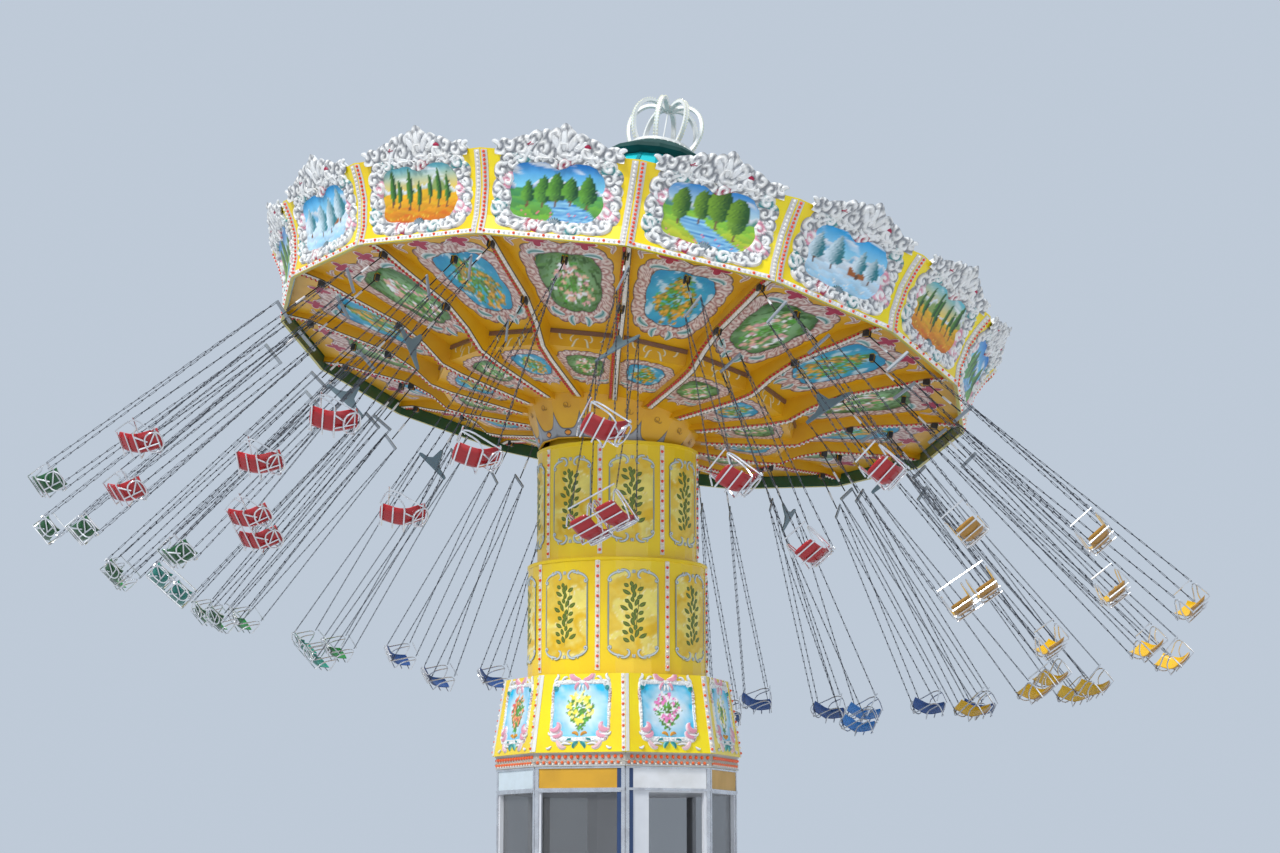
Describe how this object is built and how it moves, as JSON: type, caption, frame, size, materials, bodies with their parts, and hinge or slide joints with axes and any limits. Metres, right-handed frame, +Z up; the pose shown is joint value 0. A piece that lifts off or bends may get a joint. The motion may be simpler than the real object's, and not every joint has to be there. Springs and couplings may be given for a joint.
{
  "type": "chair swing ride",
  "caption": "Fairground chair swing ride in flight: tilted turning canopy on a telescopic drum tower over an eight-sided pay booth, with hanging seats swung out.",
  "frame": {"origin": "on the ground, on the axis of the tower", "axes": "+Z up; +X to the right and -Y towards the viewer in the picture"},
  "size_m": [17.7532, 17.9651, 13.7311],
  "materials": {
    "booth_paint": "satin grey and white paint with bright trim",
    "booth_glass": "clear sheet glass",
    "skirt_paint": "gloss yellow with relief frames and painted panels",
    "tower_steel": "grey machine paint",
    "drum_paint": "gloss yellow with marbled panels",
    "ceiling_paint": "amber yellow with painted scrolls",
    "facia_paint": "lemon yellow with carved white frames and painted scenes",
    "roof_sheet": "turquoise cover",
    "cupola_paint": "dark green gloss",
    "crown_white": "white and gold ornament",
    "seat_navy": "metallic blue",
    "seat_green": "metallic green",
    "seat_red": "metallic red",
    "seat_yellow": "yellow gloss"
  },
  "bodies": {
    "base": {"booth": "booth_paint", "booth_glazing": "booth_glass", "skirt": "skirt_paint"},
    "tower": {"turntable_mast": "tower_steel"},
    "lower_stage": {"lower_drum": "drum_paint"},
    "upper_stage": {"upper_drum": "drum_paint"},
    "head": {"tilt_head": "tower_steel"},
    "canopy": {"ceiling": "ceiling_paint", "facia": "facia_paint", "roof_cover": "roof_sheet", "cupola": "cupola_paint", "crown_ornament": "crown_white"},
    "swing_outer_01": {"swing_outer_01": "seat_yellow"},
    "swing_outer_02": {"swing_outer_02": "seat_yellow"},
    "swing_outer_03": {"swing_outer_03": "seat_navy"},
    "swing_outer_04": {"swing_outer_04": "seat_navy"},
    "swing_outer_05": {"swing_outer_05": "seat_navy"},
    "swing_outer_06": {"swing_outer_06": "seat_navy"},
    "swing_outer_07": {"swing_outer_07": "seat_green"},
    "swing_outer_08": {"swing_outer_08": "seat_green"},
    "swing_outer_09": {"swing_outer_09": "seat_green"},
    "swing_outer_10": {"swing_outer_10": "seat_green"},
    "swing_outer_11": {"swing_outer_11": "seat_red"},
    "swing_outer_12": {"swing_outer_12": "seat_red"},
    "swing_outer_13": {"swing_outer_13": "seat_red"},
    "swing_outer_14": {"swing_outer_14": "seat_red"},
    "swing_outer_15": {"swing_outer_15": "seat_yellow"},
    "swing_outer_16": {"swing_outer_16": "seat_yellow"},
    "swing_middle_01": {"swing_middle_01": "seat_yellow"},
    "swing_middle_02": {"swing_middle_02": "seat_yellow"},
    "swing_middle_03": {"swing_middle_03": "seat_navy"},
    "swing_middle_04": {"swing_middle_04": "seat_navy"},
    "swing_middle_05": {"swing_middle_05": "seat_navy"},
    "swing_middle_06": {"swing_middle_06": "seat_navy"},
    "swing_middle_07": {"swing_middle_07": "seat_green"},
    "swing_middle_08": {"swing_middle_08": "seat_green"},
    "swing_middle_09": {"swing_middle_09": "seat_green"},
    "swing_middle_10": {"swing_middle_10": "seat_green"},
    "swing_middle_11": {"swing_middle_11": "seat_red"},
    "swing_middle_12": {"swing_middle_12": "seat_red"},
    "swing_middle_13": {"swing_middle_13": "seat_red"},
    "swing_middle_14": {"swing_middle_14": "seat_red"},
    "swing_middle_15": {"swing_middle_15": "seat_yellow"},
    "swing_middle_16": {"swing_middle_16": "seat_yellow"},
    "swing_panel_01": {"swing_panel_01": "seat_yellow"},
    "swing_panel_02": {"swing_panel_02": "seat_navy"},
    "swing_panel_03": {"swing_panel_03": "seat_navy"},
    "swing_panel_04": {"swing_panel_04": "seat_navy"},
    "swing_panel_05": {"swing_panel_05": "seat_navy"},
    "swing_panel_06": {"swing_panel_06": "seat_green"},
    "swing_panel_07": {"swing_panel_07": "seat_green"},
    "swing_panel_08": {"swing_panel_08": "seat_green"},
    "swing_panel_09": {"swing_panel_09": "seat_green"},
    "swing_panel_10": {"swing_panel_10": "seat_red"},
    "swing_panel_11": {"swing_panel_11": "seat_red"},
    "swing_panel_12": {"swing_panel_12": "seat_red"},
    "swing_panel_13": {"swing_panel_13": "seat_red"},
    "swing_panel_14": {"swing_panel_14": "seat_yellow"},
    "swing_panel_15": {"swing_panel_15": "seat_yellow"},
    "swing_panel_16": {"swing_panel_16": "seat_yellow"}
  },
  "joints": [
    {"name": "tower_turn", "type": "hinge", "parent": "base", "child": "tower", "pos_m": [0, 0, 2.68], "axis": [0, 0, 1], "continuous": true},
    {"name": "upper_lift", "type": "slide", "parent": "lower_stage", "child": "upper_stage", "axis": [0, 0, 1], "range_m": [-1.7, 0]},
    {"name": "lower_lift", "type": "slide", "parent": "tower", "child": "lower_stage", "axis": [0, 0, 1], "range_m": [-1.34, 0]},
    {"name": "canopy_tilt", "type": "hinge", "parent": "upper_stage", "child": "head", "pos_m": [0, 0, 8.78], "axis": [-0.6301, 0.7765, 0], "range_deg": [-12.25, 0]},
    {"name": "canopy_turn", "type": "hinge", "parent": "head", "child": "canopy", "pos_m": [0, 0, 8.78], "axis": [0.1648, 0.1337, 0.9772], "continuous": true},
    {"name": "swing_outer_01_hang", "type": "hinge", "parent": "canopy", "child": "swing_outer_01", "pos_m": [4.91175, -0.01481, 8.26094], "axis": [0.1336, -0.9847, 0.1122], "range_deg": [-55.2, 3]},
    {"name": "swing_outer_02_hang", "type": "hinge", "parent": "canopy", "child": "swing_outer_02", "pos_m": [4.52061, 1.85894, 8.07052], "axis": [0.4886, -0.8717, 0.0369], "range_deg": [-55.85, 3.08]},
    {"name": "swing_outer_03_hang", "type": "hinge", "parent": "canopy", "child": "swing_outer_03", "pos_m": [3.44877, 3.45579, 8.03275], "axis": [0.7681, -0.639, -0.0421], "range_deg": [-55.71, 3.08]},
    {"name": "swing_outer_04_hang", "type": "hinge", "parent": "canopy", "child": "swing_outer_04", "pos_m": [1.85941, 4.53264, 8.15337], "axis": [0.9403, -0.3203, -0.1147], "range_deg": [-54.7, 3.02]},
    {"name": "swing_outer_05_hang", "type": "hinge", "parent": "canopy", "child": "swing_outer_05", "pos_m": [-0.0055, 4.92554, 8.41403], "axis": [0.9843, 0.0417, -0.1716], "range_deg": [-52.66, 2.91]},
    {"name": "swing_outer_06_hang", "type": "hinge", "parent": "canopy", "child": "swing_outer_06", "pos_m": [-1.86205, 4.57468, 8.77503], "axis": [0.8946, 0.397, -0.2051], "range_deg": [-49.62, 2.74]},
    {"name": "swing_outer_07_hang", "type": "hinge", "parent": "canopy", "child": "swing_outer_07", "pos_m": [-3.42759, 3.53347, 9.18142], "axis": [0.6838, 0.6986, -0.2109], "range_deg": [-45.97, 2.55]},
    {"name": "swing_outer_08_hang", "type": "hinge", "parent": "canopy", "child": "swing_outer_08", "pos_m": [-4.46379, 1.96043, 9.57133], "axis": [0.3748, 0.908, -0.1874], "range_deg": [-42.39, 2.35]},
    {"name": "swing_outer_09_hang", "type": "hinge", "parent": "canopy", "child": "swing_outer_09", "pos_m": [-4.8129, 0.09503, 9.8854], "axis": [-0.0008, 0.9908, -0.1354], "range_deg": [-39.7, 2.21]},
    {"name": "swing_outer_10_hang", "type": "hinge", "parent": "canopy", "child": "swing_outer_10", "pos_m": [-4.42175, -1.77872, 10.07582], "axis": [-0.3918, 0.9181, -0.0596], "range_deg": [-38.6, 2.15]},
    {"name": "swing_outer_11_hang", "type": "hinge", "parent": "canopy", "child": "swing_outer_11", "pos_m": [-3.34992, -3.37557, 10.11359], "axis": [-0.7253, 0.6878, 0.0282], "range_deg": [-39.37, 2.19]},
    {"name": "swing_outer_12_hang", "type": "hinge", "parent": "canopy", "child": "swing_outer_12", "pos_m": [-1.76056, -4.45242, 9.99297], "axis": [-0.9341, 0.3393, 0.1111], "range_deg": [-41.73, 2.31]},
    {"name": "swing_outer_13_hang", "type": "hinge", "parent": "canopy", "child": "swing_outer_13", "pos_m": [0.10435, -4.84532, 9.73231], "axis": [-0.9826, -0.0635, 0.1744], "range_deg": [-45.02, 2.49]},
    {"name": "swing_outer_14_hang", "type": "hinge", "parent": "canopy", "child": "swing_outer_14", "pos_m": [1.9609, -4.49446, 9.37131], "axis": [-0.8665, -0.4537, 0.2082], "range_deg": [-48.5, 2.68]},
    {"name": "swing_outer_15_hang", "type": "hinge", "parent": "canopy", "child": "swing_outer_15", "pos_m": [3.52644, -3.45325, 8.96492], "axis": [-0.6071, -0.7671, 0.2073], "range_deg": [-51.56, 2.85]},
    {"name": "swing_outer_16_hang", "type": "hinge", "parent": "canopy", "child": "swing_outer_16", "pos_m": [4.56264, -1.8802, 8.57501], "axis": [-0.252, -0.9522, 0.1728], "range_deg": [-53.85, 2.97]},
    {"name": "swing_middle_01_hang", "type": "hinge", "parent": "canopy", "child": "swing_middle_01", "pos_m": [3.59085, -0.03988, 8.18519], "axis": [0.1637, -0.9807, 0.1066], "range_deg": [-47.17, 2.61]},
    {"name": "swing_middle_02_hang", "type": "hinge", "parent": "canopy", "child": "swing_middle_02", "pos_m": [3.30206, 1.34358, 8.04459], "axis": [0.4974, -0.8668, 0.0347], "range_deg": [-47.66, 2.64]},
    {"name": "swing_middle_03_hang", "type": "hinge", "parent": "canopy", "child": "swing_middle_03", "pos_m": [2.51068, 2.52259, 8.01671], "axis": [0.7607, -0.6479, -0.0396], "range_deg": [-47.52, 2.63]},
    {"name": "swing_middle_04_hang", "type": "hinge", "parent": "canopy", "child": "swing_middle_04", "pos_m": [1.3372, 3.31767, 8.10577], "axis": [0.9303, -0.3502, -0.1089], "range_deg": [-46.62, 2.58]},
    {"name": "swing_middle_05_hang", "type": "hinge", "parent": "canopy", "child": "swing_middle_05", "pos_m": [-0.03973, 3.60776, 8.29822], "axis": [0.9862, -0.0062, -0.1654], "range_deg": [-44.73, 2.48]},
    {"name": "swing_middle_06_hang", "type": "hinge", "parent": "canopy", "child": "swing_middle_06", "pos_m": [-1.41049, 3.3487, 8.56476], "axis": [0.9178, 0.3422, -0.2015], "range_deg": [-41.79, 2.32]},
    {"name": "swing_middle_07_hang", "type": "hinge", "parent": "canopy", "child": "swing_middle_07", "pos_m": [-2.56638, 2.57994, 8.86481], "axis": [0.7286, 0.6513, -0.2119], "range_deg": [-38.16, 2.12]},
    {"name": "swing_middle_08_hang", "type": "hinge", "parent": "canopy", "child": "swing_middle_08", "pos_m": [-3.33145, 1.41851, 9.1527], "axis": [0.4311, 0.8814, -0.1933], "range_deg": [-34.5, 1.92]},
    {"name": "swing_middle_09_hang", "type": "hinge", "parent": "canopy", "child": "swing_middle_09", "pos_m": [-3.58921, 0.04122, 9.38459], "axis": [0.047, 0.9886, -0.1432], "range_deg": [-31.66, 1.77]},
    {"name": "swing_middle_10_hang", "type": "hinge", "parent": "canopy", "child": "swing_middle_10", "pos_m": [-3.30041, -1.34224, 9.52518], "axis": [-0.3719, 0.926, -0.064], "range_deg": [-30.43, 1.7]},
    {"name": "swing_middle_11_hang", "type": "hinge", "parent": "canopy", "child": "swing_middle_11", "pos_m": [-2.50904, -2.52126, 9.55307], "axis": [-0.7319, 0.6807, 0.0303], "range_deg": [-31.17, 1.74]},
    {"name": "swing_middle_12_hang", "type": "hinge", "parent": "canopy", "child": "swing_middle_12", "pos_m": [-1.33556, -3.31633, 9.46401], "axis": [-0.9449, 0.3055, 0.1175], "range_deg": [-33.63, 1.88]},
    {"name": "swing_middle_13_hang", "type": "hinge", "parent": "canopy", "child": "swing_middle_13", "pos_m": [0.04138, -3.60642, 9.27155], "axis": [-0.9769, -0.1148, 0.1804], "range_deg": [-37.06, 2.06]},
    {"name": "swing_middle_14_hang", "type": "hinge", "parent": "canopy", "child": "swing_middle_14", "pos_m": [1.41213, -3.34737, 9.00501], "axis": [-0.8377, -0.504, 0.2102], "range_deg": [-40.64, 2.26]},
    {"name": "swing_middle_15_hang", "type": "hinge", "parent": "canopy", "child": "swing_middle_15", "pos_m": [2.56803, -2.57861, 8.70496], "axis": [-0.5626, -0.801, 0.2044], "range_deg": [-43.71, 2.42]},
    {"name": "swing_middle_16_hang", "type": "hinge", "parent": "canopy", "child": "swing_middle_16", "pos_m": [3.3331, -1.41717, 8.41708], "axis": [-0.2073, -0.964, 0.1668], "range_deg": [-45.91, 2.54]},
    {"name": "swing_panel_01_hang", "type": "hinge", "parent": "canopy", "child": "swing_panel_01", "pos_m": [4.31867, 0.84899, 8.26321], "axis": [0.3255, -0.9426, 0.0741], "range_deg": [-52.36, 2.89]},
    {"name": "swing_panel_02_hang", "type": "hinge", "parent": "canopy", "child": "swing_panel_02", "pos_m": [3.65001, 2.43526, 8.15891], "axis": [0.6398, -0.7686, -0.0027], "range_deg": [-52.57, 2.9]},
    {"name": "swing_panel_03_hang", "type": "hinge", "parent": "canopy", "child": "swing_panel_03", "pos_m": [2.43369, 3.6573, 8.19678], "axis": [0.8653, -0.4952, -0.0781], "range_deg": [-52.05, 2.88]},
    {"name": "swing_panel_04_hang", "type": "hinge", "parent": "canopy", "child": "swing_panel_04", "pos_m": [0.85489, 4.32906, 8.37105], "axis": [0.9772, -0.1566, -0.1433], "range_deg": [-50.59, 2.8]},
    {"name": "swing_panel_05_hang", "type": "hinge", "parent": "canopy", "child": "swing_panel_05", "pos_m": [-0.84604, 4.34827, 8.65518], "axis": [0.9605, 0.2036, -0.1898], "range_deg": [-48.07, 2.66]},
    {"name": "swing_panel_06_hang", "type": "hinge", "parent": "canopy", "child": "swing_panel_06", "pos_m": [-2.41013, 3.71201, 9.00592], "axis": [0.8162, 0.5378, -0.2112], "range_deg": [-44.68, 2.48]},
    {"name": "swing_panel_07_hang", "type": "hinge", "parent": "canopy", "child": "swing_panel_07", "pos_m": [-3.59928, 2.51715, 9.36988], "axis": [0.5593, 0.8034, -0.2042], "range_deg": [-40.95, 2.27]},
    {"name": "swing_panel_08_hang", "type": "hinge", "parent": "canopy", "child": "swing_panel_08", "pos_m": [-4.23244, 0.94558, 9.69164], "axis": [0.2125, 0.9627, -0.1675], "range_deg": [-37.67, 2.1]},
    {"name": "swing_panel_09_hang", "type": "hinge", "parent": "canopy", "child": "swing_panel_09", "pos_m": [-4.21323, -0.76342, 9.92222], "axis": [-0.1861, 0.9772, -0.1023], "range_deg": [-35.65, 1.99]},
    {"name": "swing_panel_10_hang", "type": "hinge", "parent": "canopy", "child": "swing_panel_10", "pos_m": [-3.54457, -2.34969, 10.02651], "axis": [-0.5688, 0.8223, -0.0166], "range_deg": [-35.46, 1.97]},
    {"name": "swing_panel_11_hang", "type": "hinge", "parent": "canopy", "child": "swing_panel_11", "pos_m": [-2.32825, -3.57173, 9.98865], "axis": [-0.8527, 0.5173, 0.073], "range_deg": [-37.1, 2.06]},
    {"name": "swing_panel_12_hang", "type": "hinge", "parent": "canopy", "child": "swing_panel_12", "pos_m": [-0.74945, -4.24349, 9.81438], "axis": [-0.9811, 0.1243, 0.1484], "range_deg": [-40.07, 2.23]},
    {"name": "swing_panel_13_hang", "type": "hinge", "parent": "canopy", "child": "swing_panel_13", "pos_m": [0.95148, -4.2627, 9.53025], "axis": [-0.9384, -0.2839, 0.197], "range_deg": [-43.59, 2.42]},
    {"name": "swing_panel_14_hang", "type": "hinge", "parent": "canopy", "child": "swing_panel_14", "pos_m": [2.51557, -3.62644, 9.1795], "axis": [-0.7384, -0.6401, 0.2121], "range_deg": [-46.94, 2.6]},
    {"name": "swing_panel_15_hang", "type": "hinge", "parent": "canopy", "child": "swing_panel_15", "pos_m": [3.70472, -2.43158, 8.81555], "axis": [-0.4203, -0.8868, 0.1922], "range_deg": [-49.63, 2.75]},
    {"name": "swing_panel_16_hang", "type": "hinge", "parent": "canopy", "child": "swing_panel_16", "pos_m": [4.33789, -0.86001, 8.49379], "axis": [-0.0443, -0.9888, 0.1427], "range_deg": [-51.43, 2.84]}
  ],
  "couplings": [
    {"joint": "lower_lift", "follows": "upper_lift", "ratio": 0.78816},
    {"joint": "swing_outer_02_hang", "follows": "swing_outer_01_hang", "ratio": 1.0109},
    {"joint": "swing_outer_03_hang", "follows": "swing_outer_01_hang", "ratio": 1.0082},
    {"joint": "swing_outer_04_hang", "follows": "swing_outer_01_hang", "ratio": 0.99003},
    {"joint": "swing_outer_05_hang", "follows": "swing_outer_01_hang", "ratio": 0.95311},
    {"joint": "swing_outer_06_hang", "follows": "swing_outer_01_hang", "ratio": 0.89805},
    {"joint": "swing_outer_07_hang", "follows": "swing_outer_01_hang", "ratio": 0.83186},
    {"joint": "swing_outer_08_hang", "follows": "swing_outer_01_hang", "ratio": 0.76702},
    {"joint": "swing_outer_09_hang", "follows": "swing_outer_01_hang", "ratio": 0.71834},
    {"joint": "swing_outer_10_hang", "follows": "swing_outer_01_hang", "ratio": 0.69839},
    {"joint": "swing_outer_11_hang", "follows": "swing_outer_01_hang", "ratio": 0.71225},
    {"joint": "swing_outer_12_hang", "follows": "swing_outer_01_hang", "ratio": 0.75505},
    {"joint": "swing_outer_13_hang", "follows": "swing_outer_01_hang", "ratio": 0.81471},
    {"joint": "swing_outer_14_hang", "follows": "swing_outer_01_hang", "ratio": 0.8777},
    {"joint": "swing_outer_15_hang", "follows": "swing_outer_01_hang", "ratio": 0.93318},
    {"joint": "swing_outer_16_hang", "follows": "swing_outer_01_hang", "ratio": 0.97458},
    {"joint": "swing_middle_01_hang", "follows": "swing_outer_01_hang", "ratio": 0.85355},
    {"joint": "swing_middle_02_hang", "follows": "swing_outer_01_hang", "ratio": 0.86255},
    {"joint": "swing_middle_03_hang", "follows": "swing_outer_01_hang", "ratio": 0.86},
    {"joint": "swing_middle_04_hang", "follows": "swing_outer_01_hang", "ratio": 0.84372},
    {"joint": "swing_middle_05_hang", "follows": "swing_outer_01_hang", "ratio": 0.80937},
    {"joint": "swing_middle_06_hang", "follows": "swing_outer_01_hang", "ratio": 0.7562},
    {"joint": "swing_middle_07_hang", "follows": "swing_outer_01_hang", "ratio": 0.69032},
    {"joint": "swing_middle_08_hang", "follows": "swing_outer_01_hang", "ratio": 0.624},
    {"joint": "swing_middle_09_hang", "follows": "swing_outer_01_hang", "ratio": 0.57268},
    {"joint": "swing_middle_10_hang", "follows": "swing_outer_01_hang", "ratio": 0.55038},
    {"joint": "swing_middle_11_hang", "follows": "swing_outer_01_hang", "ratio": 0.56382},
    {"joint": "swing_middle_12_hang", "follows": "swing_outer_01_hang", "ratio": 0.60826},
    {"joint": "swing_middle_13_hang", "follows": "swing_outer_01_hang", "ratio": 0.67039},
    {"joint": "swing_middle_14_hang", "follows": "swing_outer_01_hang", "ratio": 0.73524},
    {"joint": "swing_middle_15_hang", "follows": "swing_outer_01_hang", "ratio": 0.79092},
    {"joint": "swing_middle_16_hang", "follows": "swing_outer_01_hang", "ratio": 0.83069},
    {"joint": "swing_panel_01_hang", "follows": "swing_outer_01_hang", "ratio": 0.94771},
    {"joint": "swing_panel_02_hang", "follows": "swing_outer_01_hang", "ratio": 0.95151},
    {"joint": "swing_panel_03_hang", "follows": "swing_outer_01_hang", "ratio": 0.94194},
    {"joint": "swing_panel_04_hang", "follows": "swing_outer_01_hang", "ratio": 0.91555},
    {"joint": "swing_panel_05_hang", "follows": "swing_outer_01_hang", "ratio": 0.86998},
    {"joint": "swing_panel_06_hang", "follows": "swing_outer_01_hang", "ratio": 0.80849},
    {"joint": "swing_panel_07_hang", "follows": "swing_outer_01_hang", "ratio": 0.74092},
    {"joint": "swing_panel_08_hang", "follows": "swing_outer_01_hang", "ratio": 0.68151},
    {"joint": "swing_panel_09_hang", "follows": "swing_outer_01_hang", "ratio": 0.645},
    {"joint": "swing_panel_10_hang", "follows": "swing_outer_01_hang", "ratio": 0.6414},
    {"joint": "swing_panel_11_hang", "follows": "swing_outer_01_hang", "ratio": 0.67117},
    {"joint": "swing_panel_12_hang", "follows": "swing_outer_01_hang", "ratio": 0.72494},
    {"joint": "swing_panel_13_hang", "follows": "swing_outer_01_hang", "ratio": 0.78872},
    {"joint": "swing_panel_14_hang", "follows": "swing_outer_01_hang", "ratio": 0.8495},
    {"joint": "swing_panel_15_hang", "follows": "swing_outer_01_hang", "ratio": 0.8982},
    {"joint": "swing_panel_16_hang", "follows": "swing_outer_01_hang", "ratio": 0.93073}
  ]
}
